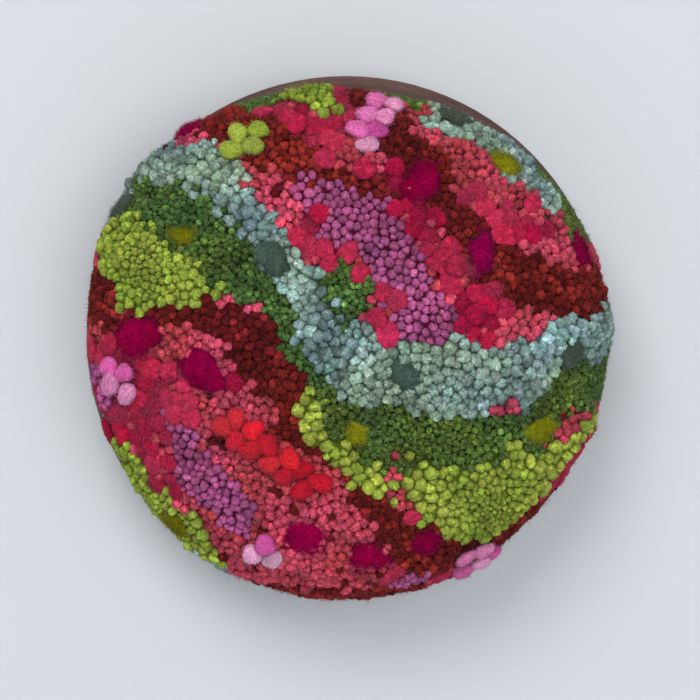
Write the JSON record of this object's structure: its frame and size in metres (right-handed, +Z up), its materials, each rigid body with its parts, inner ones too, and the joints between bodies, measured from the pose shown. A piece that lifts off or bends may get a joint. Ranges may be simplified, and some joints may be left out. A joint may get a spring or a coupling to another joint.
{
  "type": "round framed fiber sculpture",
  "caption": "Stuffed dome of tufted wool in many colours, raised out of a round turned wooden ring that hangs flat on a wall.",
  "frame": {"origin": "middle of the ring's flat back face at the top of the ring, where the object hangs", "axes": "+Y into the wall, square to the ring's back; +Z up; the dome faces -Y and +X is to the right seen from the front"},
  "size_m": [0.1547, 0.0647, 0.154],
  "materials": {
    "walnut_wood": "matte oiled",
    "tufted_wool": "cut and looped wool tufts",
    "magenta_wool": "velvet cut pile",
    "olive_wool": "velvet cut pile",
    "moss_wool": "velvet cut pile",
    "red_wool": "soft wool puff",
    "pink_wool": "soft wool puff",
    "lime_wool": "soft wool puff"
  },
  "bodies": {
    "root": {"frame_ring": "walnut_wood", "tufted_dome": "tufted_wool", "magenta_pad_01": "magenta_wool", "magenta_pad_02": "magenta_wool", "magenta_pad_03": "magenta_wool", "magenta_pad_04": "magenta_wool", "magenta_pad_05": "magenta_wool", "magenta_pad_06": "magenta_wool", "magenta_pad_07": "magenta_wool", "magenta_pad_08": "magenta_wool", "magenta_pad_09": "magenta_wool", "olive_pad_01": "olive_wool", "olive_pad_02": "olive_wool", "olive_pad_03": "olive_wool", "olive_pad_04": "olive_wool", "olive_pad_05": "olive_wool", "moss_pad_01": "moss_wool", "moss_pad_02": "moss_wool", "moss_pad_03": "moss_wool", "moss_pad_04": "moss_wool", "moss_pad_05": "moss_wool", "red_puff_01": "red_wool", "red_puff_02": "red_wool", "red_puff_03": "red_wool", "red_puff_04": "red_wool", "red_puff_05": "red_wool", "red_puff_06": "red_wool", "red_puff_07": "red_wool", "red_puff_08": "red_wool", "red_puff_09": "red_wool", "red_puff_10": "red_wool", "red_puff_11": "red_wool", "red_puff_12": "red_wool", "pink_puff_01": "pink_wool", "pink_puff_02": "pink_wool", "pink_puff_03": "pink_wool", "pink_puff_04": "pink_wool", "pink_puff_05": "pink_wool", "pink_puff_06": "pink_wool", "pink_puff_07": "pink_wool", "pink_puff_08": "pink_wool", "pink_puff_09": "pink_wool", "pink_puff_10": "pink_wool", "pink_puff_11": "pink_wool", "pink_puff_12": "pink_wool", "pink_puff_13": "pink_wool", "pink_puff_14": "pink_wool", "pink_puff_15": "pink_wool", "pink_puff_16": "pink_wool", "pink_puff_17": "pink_wool", "pink_puff_18": "pink_wool", "pink_puff_19": "pink_wool", "lime_puff_01": "lime_wool", "lime_puff_02": "lime_wool", "lime_puff_03": "lime_wool", "lime_puff_04": "lime_wool"}
  },
  "joints": []
}
